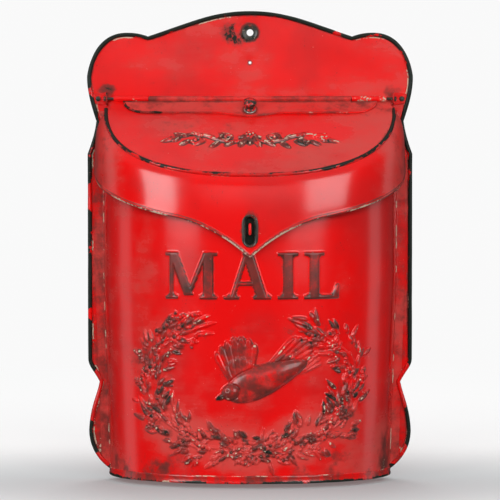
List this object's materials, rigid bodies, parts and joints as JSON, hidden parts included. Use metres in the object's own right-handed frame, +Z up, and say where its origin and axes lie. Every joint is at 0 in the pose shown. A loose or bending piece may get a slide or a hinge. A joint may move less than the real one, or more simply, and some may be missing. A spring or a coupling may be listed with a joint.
{
  "type": "wall mailbox",
  "caption": "Wall-hung sheet-metal mailbox with a scalloped back plate, sloping hinged lid, letter flap with knob and padlock hasp.",
  "frame": {"origin": "middle of the back plate's flat rear face, on the wall", "axes": "+Z up, +Y into the wall, so the front faces -Y; +X to the right of a person facing the box"},
  "size_m": [0.2712, 0.1009, 0.3898],
  "materials": {
    "red_enamel": "glossy red enamel, rubbed dark in the relief and worn at the edges",
    "worn_dark_enamel": "enamel worn to dark green-black primer and metal",
    "bare_steel": "dull bare steel"
  },
  "bodies": {
    "box": {"back_plate": "red_enamel", "hanger_eyelet": "worn_dark_enamel", "body_shell": "red_enamel", "bottom_plate": "red_enamel", "hinge_ear_left": "red_enamel", "hinge_ear_right": "red_enamel", "ear_rivet_left": "worn_dark_enamel", "ear_rivet_right": "worn_dark_enamel", "hinge_rod": "worn_dark_enamel", "hasp_staple": "red_enamel", "staple_backing_plate": "bare_steel"},
    "lid": {"lid_top": "red_enamel", "lid_skirt": "red_enamel", "hasp_eyelet": "worn_dark_enamel"},
    "flap": {"letter_flap": "red_enamel", "flap_knob": "worn_dark_enamel", "knob_washer": "bare_steel", "knob_screw": "bare_steel"}
  },
  "joints": [
    {"name": "lid_hinge", "type": "hinge", "parent": "box", "child": "lid", "pos_m": [0, -0.0085, 0.122], "axis": [-1, 0, 0], "range_deg": [0, 70]},
    {"name": "flap_hinge", "type": "hinge", "parent": "lid", "child": "flap", "pos_m": [0, -0.0085, 0.122], "axis": [-1, 0, 0], "range_deg": [0, 40]}
  ]
}
